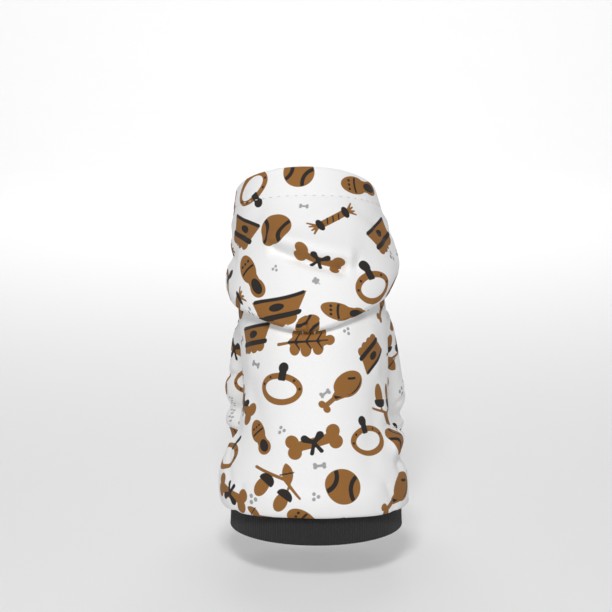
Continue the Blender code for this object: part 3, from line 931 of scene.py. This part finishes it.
def armhole_heights(points, around, body):
    """A groove where a sleeve leaves the body, with the sleeve gathered past it."""
    skin = body.outer.reshape(-1, 3)
    facing = face_normals(body.outer).reshape(-1, 3)
    tree = KDTree(len(skin))
    for index, point in enumerate(skin):
        tree.insert(point, index)
    tree.balance()
    flat = points.reshape(-1, 3)
    nearest = np.array([tree.find(point)[1] for point in flat])
    stand_off = ((flat - skin[nearest]) * facing[nearest]).sum(axis=1).reshape(points.shape[:2])
    crossing = np.argmax(stand_off > SEAM_GAP, axis=0)
    reach = reach_down(points)
    past = reach - reach[crossing, np.arange(points.shape[1])]

    def ridge(shape):
        return shape.height * bell(past - shape.past, shape.width)

    puckers = np.cos(around * ARMHOLE_PUCKERS) * ridge(ARMHOLE_PUCKER)
    return ridge(ARMHOLE_GATHER) + ridge(ARMHOLE_GROOVE) + puckers


def sleeve_grid(side, body):
    """A sleeve, from inside the body to its turned hem."""
    lines = edge_lines(SLEEVE_LINES, False, True)
    wall = np.full(len(lines), CLOTH_WALL)
    wall[lines > 1.0 - HEM_DEPTH / SLEEVE_LENGTH] = CASING_WALL
    around = turns(SLEEVE_COLUMNS, 0.0)

    def points_of(along, angles):
        return sleeve_points(along, side * angles, side)

    def armhole(points):
        return armhole_heights(points, around, body)

    return wall_grid(folded(points_of, SLEEVE_FOLDS[side], lines, around, armhole), wall, True)


def sleeve_bore(side):
    """The plain hollow of a sleeve where it runs through the body's wall."""
    along, angles = spread(np.linspace(0.0, 1.0, BORE_LINES), turns(BORE_COLUMNS, 0.0))
    points = sleeve_points(along, side * angles, side)
    return points - face_normals(points) * CLOTH_WALL


def plug_object(name, grid):
    """A solid that fills a grid of rows, to cut others with."""
    rows, columns = grid.shape[:2]
    seat = np.arange(rows * columns).reshape(rows, columns)
    beside = np.roll(seat, -1, axis=1)
    sides = np.stack([seat[:-1], beside[:-1], beside[1:], seat[1:]], axis=-1).reshape(-1, 4).tolist()
    hubs = rows * columns
    ends = [(hubs, b, a) for a, b in zip(seat[0], beside[0])]
    ends += [(hubs + 1, a, b) for a, b in zip(seat[-1], beside[-1])]
    centres = np.array([grid[0].mean(axis=0), grid[-1].mean(axis=0)])
    return mesh_object(name, np.concatenate([grid.reshape(-1, 3), centres]), sides + ends)


def cut(piece, plug):
    """Take a plug's volume away from a piece and keep the result."""
    boolean = piece.modifiers.new("cut", "BOOLEAN")
    boolean.operation = "DIFFERENCE"
    boolean.solver = "EXACT"
    boolean.object = plug
    bpy.context.view_layer.objects.active = piece
    bpy.ops.object.modifier_apply(modifier=boolean.name)


def stitches(name, line, outward, material, length, pitch):
    """A row of stitches round a closed line of points, half sunk in the cloth."""
    steps = np.linalg.norm(np.roll(line, -1, axis=0) - line, axis=1)
    reach = np.concatenate([[0.0], np.cumsum(steps)])
    closed = np.concatenate([line, line[:1]])
    facing = np.concatenate([outward, outward[:1]])
    number = int(reach[-1] / pitch)
    sides, rings = 6, 5
    points, faces = [], []
    for index in range(number):
        span = (index + np.array([0.0, length / pitch])) * reach[-1] / number
        a, b = (np.array([np.interp(s, reach, closed[:, k]) for k in range(3)]) for s in span)
        up = np.array([np.interp(span.mean(), reach, facing[:, k]) for k in range(3)])
        along = (b - a) / np.linalg.norm(b - a)
        beside = np.cross(along, up)
        beside /= np.linalg.norm(beside)
        up = np.cross(beside, along)
        first = len(points)
        for ring in range(rings):
            share = ring / (rings - 1)
            girth = STITCH_RADIUS * max(0.25, math.sin(math.pi * share)) ** 0.5
            rise = STITCH_RADIUS * (math.sin(math.pi * share) - STITCH_SINK)
            for side in range(sides):
                angle = 2.0 * math.pi * side / sides
                lift = rise + girth * math.sin(angle)
                points.append(a + (b - a) * share + up * lift + beside * girth * math.cos(angle))
        for ring in range(rings - 1):
            for side in range(sides):
                low, high = first + ring * sides, first + (ring + 1) * sides
                after = (side + 1) % sides
                faces.append((low + side, high + side, high + after, low + after))
        faces.append(tuple(first + side for side in range(sides)))
        faces.append(tuple(first + (rings - 1) * sides + side for side in reversed(range(sides))))
    return mesh_object(name, points, faces, material)


def band_grid():
    """The rib band, with every rib in its outer face."""
    columns = RIB_COUNT * RIB_SAMPLES
    around = turns(columns, 0.0)
    top = body_points(np.ones(columns), around)
    top[:, 2] -= SEAM_GAP
    lines = np.linspace(0.0, 1.0, BAND_LINES)
    middle = np.repeat(top[None], BAND_LINES, axis=0)
    middle[..., 2] -= lines[:, None] * BAND_HEIGHT
    normals = face_normals(middle)
    ribs = RIB_HEIGHT * np.abs(np.sin(np.arange(columns) * math.pi / RIB_SAMPLES)) ** 0.7
    pull = np.sin(math.pi * lines) * BAND_PULL
    edge = np.clip((1.0 - lines) / BAND_EDGE, BAND_EDGE_RIBS, 1.0)
    relief = (ribs[None] - RIB_HEIGHT) * edge[:, None] - pull[:, None]
    outer = middle + normals * relief[..., None]
    made = Grid(outer - normals * RIB_WALL / 2.0, np.full(BAND_LINES, RIB_WALL))
    made.inner = middle - normals * (RIB_WALL + RIB_HEIGHT)
    return made


def aim_at(item, place, aim):
    """Put a lamp or a camera at a place and turn it to its aim."""
    item.location = place
    item.rotation_euler = (Vector(aim) - Vector(place)).to_track_quat("-Z", "Y").to_euler()


def soft_light(lamp):
    """A large area light."""
    area = bpy.data.lights.new(lamp.name, "AREA")
    area.size = lamp.size
    area.energy = lamp.power
    aim_at(add_object(lamp.name, area), lamp.place, lamp.aim)


def make_camera():
    """The camera at the photo's angle and distance."""
    away = Vector((0.0, math.cos(ELEVATION), math.sin(ELEVATION)))
    up = Vector((0.0, -math.sin(ELEVATION), math.cos(ELEVATION)))
    right = Vector((-1.0, 0.0, 0.0))
    camera = bpy.data.cameras.new("camera")
    camera.sensor_width = SENSOR
    camera.lens = DISTANCE / METRES_A_PIXEL * SENSOR / IMAGE_SIDE
    eye = AIM + away * DISTANCE
    middle = IMAGE_SIDE / 2.0
    aside = right * (middle - AIM_PIXEL[0]) * METRES_A_PIXEL
    above = up * (AIM_PIXEL[1] - middle) * METRES_A_PIXEL
    item = add_object("camera", camera)
    aim_at(item, eye, AIM + aside + above)
    bpy.context.scene.camera = item


def make_studio():
    """A pale round floor that curves up into a pale wall, with soft light from above."""
    floor_z = BAND_LOW[2] - FLOOR_BELOW_BAND
    turn = np.linspace(0.0, 2.0 * math.pi, STUDIO_SIDES, endpoint=False)
    profile = [(share * STUDIO_RADIUS, 0.0) for share in (0.05, 0.2, 0.5, 1.0)]
    for angle in np.linspace(0.15, math.pi / 2.0, 8):
        out = STUDIO_RADIUS + STUDIO_CURVE * math.sin(angle)
        profile.append((out, STUDIO_CURVE * (1.0 - math.cos(angle))))
    profile.append((STUDIO_RADIUS + STUDIO_CURVE, STUDIO_WALL))
    points = [(r * math.cos(a), r * math.sin(a), floor_z + z) for r, z in profile for a in turn]
    faces = [tuple(range(STUDIO_SIDES))]
    for row in range(len(profile) - 1):
        for side in range(STUDIO_SIDES):
            low, after = row * STUDIO_SIDES, (side + 1) % STUDIO_SIDES
            high = low + STUDIO_SIDES
            faces.append((low + side, high + side, high + after, low + after))
    material = bpy.data.materials.new("studio_paper")
    material.use_nodes = True
    shader = material.node_tree.nodes["Principled BSDF"]
    set_inputs(shader, {"Base Color": (STUDIO_GREY, STUDIO_GREY, STUDIO_GREY, 1.0), "Roughness": 0.95})
    set_inputs(shader, {"Emission Color": (1.0, 1.0, 1.0, 1.0), "Emission Strength": STUDIO_GLOW})
    mesh_object("studio_floor", points, faces, material)
    world = bpy.data.worlds.new("studio")
    world.use_nodes = True
    sky = world.node_tree.nodes["Background"]
    set_inputs(sky, {"Color": (1.0, 1.0, 1.0, 1.0), "Strength": WORLD_GLOW})
    bpy.context.scene.world = world
    for lamp in LAMPS:
        soft_light(lamp)
    bpy.context.scene.view_settings.view_transform = "Standard"


def finish_piece(piece, slot, *nodes):
    """Ride on the one body and stand for nodes; slot is not used."""
    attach(piece, "root")
    if nodes:
        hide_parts(*nodes)


def main():
    """Build the whole dressed hoodie."""
    make_camera()
    make_studio()
    cloth = printed_cloth()
    rib = rib_cloth()
    thread = thread_finish()

    body = body_grid()
    print_cloth(body, PRINT_SEED, BODY_FIRST_ROW, BODY_LINES, False)
    body_piece = grid_object("body_cloth", body, cloth)
    hood, outer_lines, casing_line = hood_grid()
    print_cloth(hood, PRINT_SEED + 1, HOOD_FIRST_ROW, outer_lines, True)
    hood_piece = grid_object("hood_cloth", hood, cloth)
    keep_out = plug_object("keep_out", body.outer + face_normals(body.outer) * SEAM_GAP)

    for side, name in ((1, "sleeve_left"), (-1, "sleeve_right")):
        grid = sleeve_grid(side, body)
        print_cloth(grid, PRINT_SEED + 3 + side, SLEEVE_FIRST_ROW, len(grid.middle), False)
        sleeve = grid_object(name + "_cloth", grid, cloth)
        cut(sleeve, keep_out)
        bore = plug_object("bore", sleeve_bore(side))
        cut(body_piece, bore)
        bpy.data.objects.remove(bore, do_unlink=True)
        hem = closest(grid.down.mean(axis=1), grid.down[-1].mean() - HEM_DEPTH)
        outward = face_normals(grid.outer)[hem]
        row = stitches(name + "_hem_stitches", grid.outer[hem], outward, thread, *HEM_STITCH)
        finish_piece(sleeve, "printed_cloth", name)
        finish_piece(row, "printed_cloth")
    bpy.data.objects.remove(keep_out, do_unlink=True)

    outward = face_normals(hood.outer)[casing_line]
    rim = stitches("hood_rim_stitches", hood.outer[casing_line], outward, thread, *RIM_STITCH)
    band_piece = grid_object("hem_band_rib", band_grid(), rib)

    finish_piece(body_piece, "printed_cloth", "body")
    finish_piece(hood_piece, "printed_cloth", "hood")
    finish_piece(rim, "printed_cloth")
    finish_piece(band_piece, "rib_knit", "hem_band")


main()
